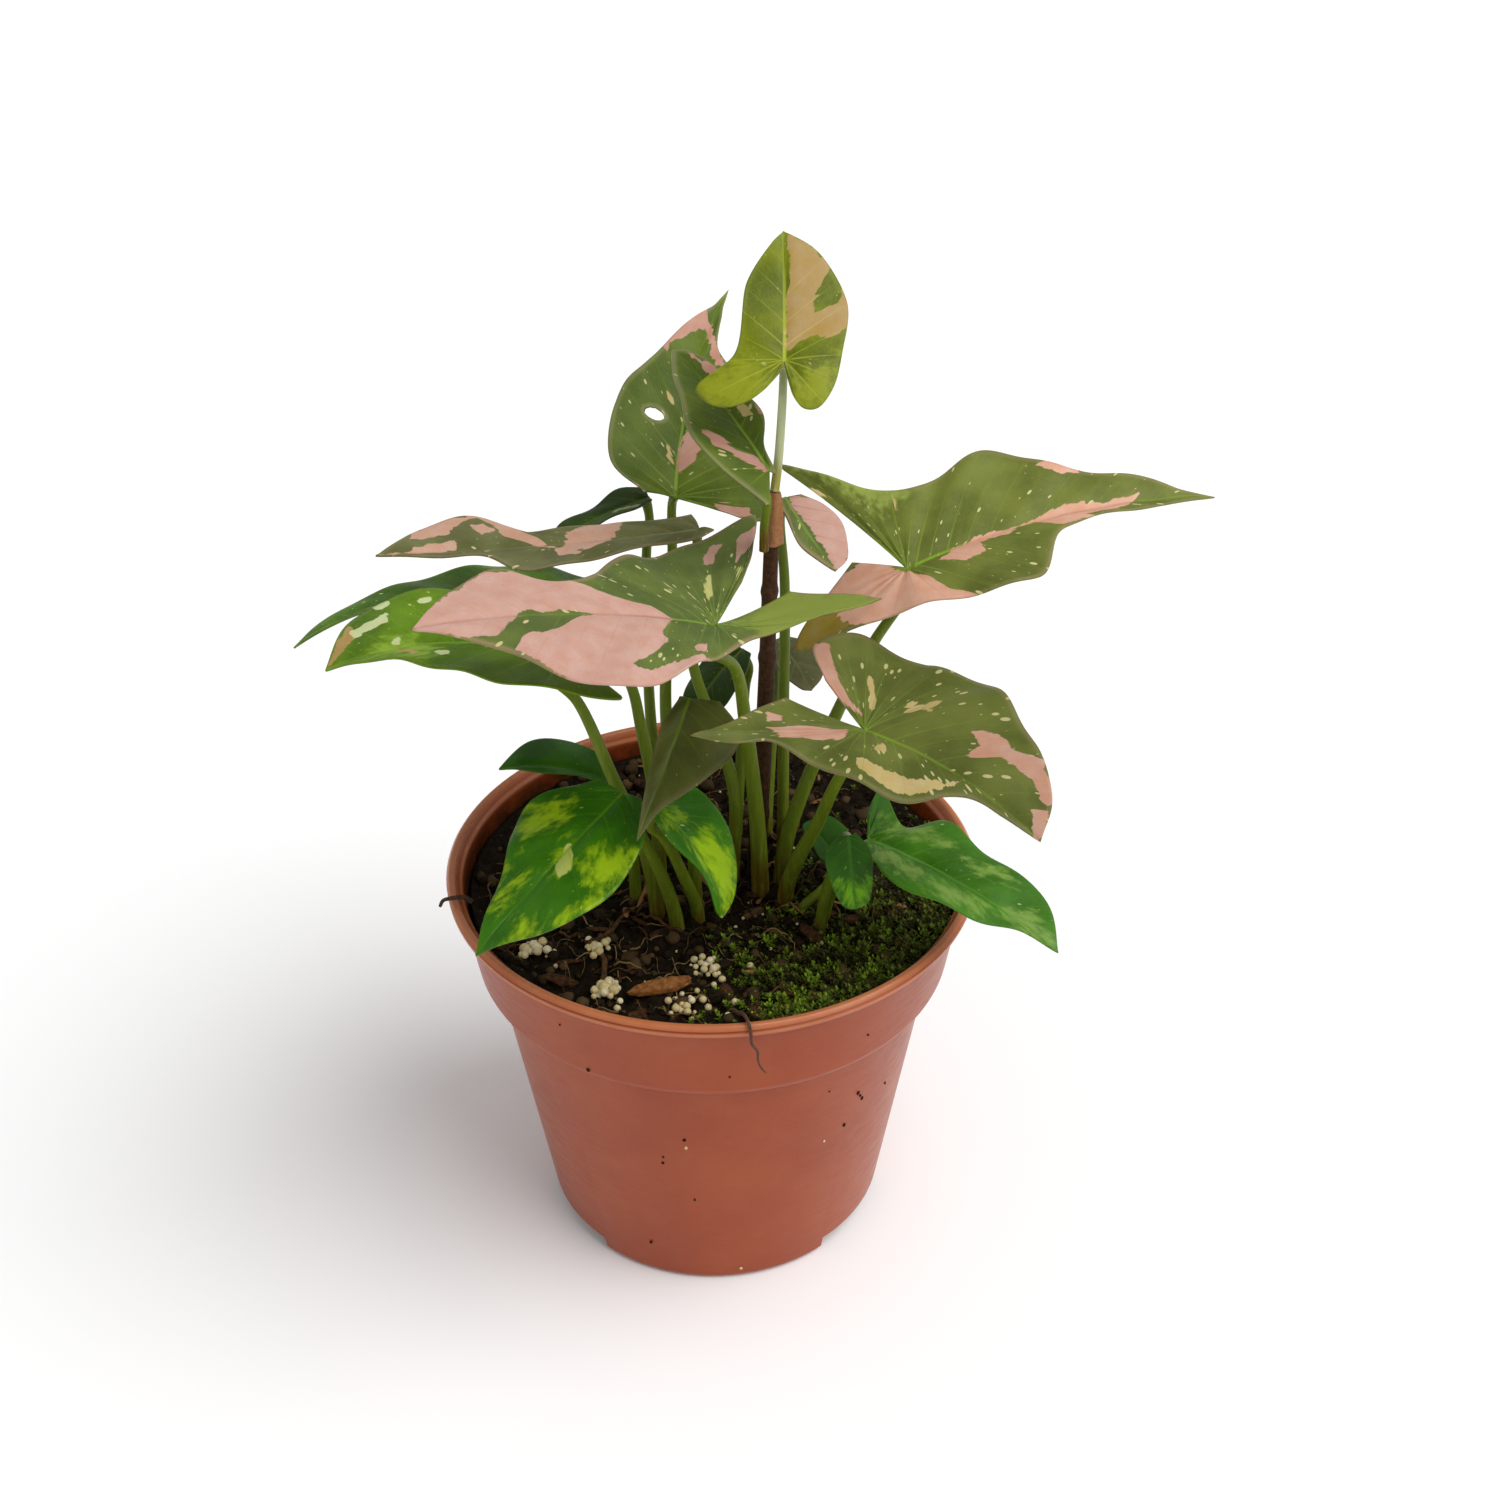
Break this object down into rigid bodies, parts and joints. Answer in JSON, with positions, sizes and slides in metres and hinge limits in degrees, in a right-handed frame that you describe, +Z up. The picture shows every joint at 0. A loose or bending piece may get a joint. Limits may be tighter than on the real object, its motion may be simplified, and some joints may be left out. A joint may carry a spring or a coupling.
{
  "type": "potted plant",
  "caption": "Variegated green and pink arrowhead-leaved houseplant in a tapered terracotta-coloured plastic nursery pot.",
  "frame": {"origin": "on the pot's axis, in the plane of the feet and the hub that the pot stands on", "axes": "+Z up along the pot's axis; the side of the plant seen in the picture faces -Y, with +X on its right"},
  "size_m": [0.197, 0.139, 0.2284],
  "materials": {
    "pot": "matt terracotta-coloured plastic with a slight sheen",
    "soil": "dark loose peat mix",
    "moss": "short olive-green tufts",
    "grains": "dull cream grains",
    "bark": "rough torn bark",
    "stem": "dark brown, slightly ribbed",
    "sheath": "thin pinkish-brown sheath",
    "leaf": "satin leaf, olive to bright green with cream flecks and pink patches",
    "pink_leaf": "satin leaf, salmon pink with green patches",
    "root": "dry pale root",
    "scrap": "dry brown scrap"
  },
  "bodies": {
    "root": {"bark_chip": "bark", "granules_front": "grains", "granules_front_left": "grains", "granules_left": "grains", "granules_middle": "grains", "granules_middle_left": "grains", "leaf_back_dark": "leaf", "leaf_back_low": "leaf", "leaf_back_olive": "leaf", "leaf_bottom_left": "leaf", "leaf_crown": "leaf", "leaf_drooping": "leaf", "leaf_far_left": "leaf", "leaf_front_pink": "pink_leaf", "leaf_hanging": "leaf", "leaf_left_long": "leaf", "leaf_left_lower": "leaf", "leaf_left_narrow": "leaf", "leaf_right_bottom": "leaf", "leaf_right_front": "leaf", "leaf_right_large": "leaf", "leaf_small_left": "leaf", "leaf_small_pink": "pink_leaf", "leaf_spoon": "leaf", "leaf_upper_middle": "leaf", "leaf_window": "leaf", "moss": "moss", "pot": "pot", "rim_twig": "scrap", "root_hair": "root", "soil": "soil", "stem": "stem", "stem_sheath": "sheath"}
  },
  "joints": []
}
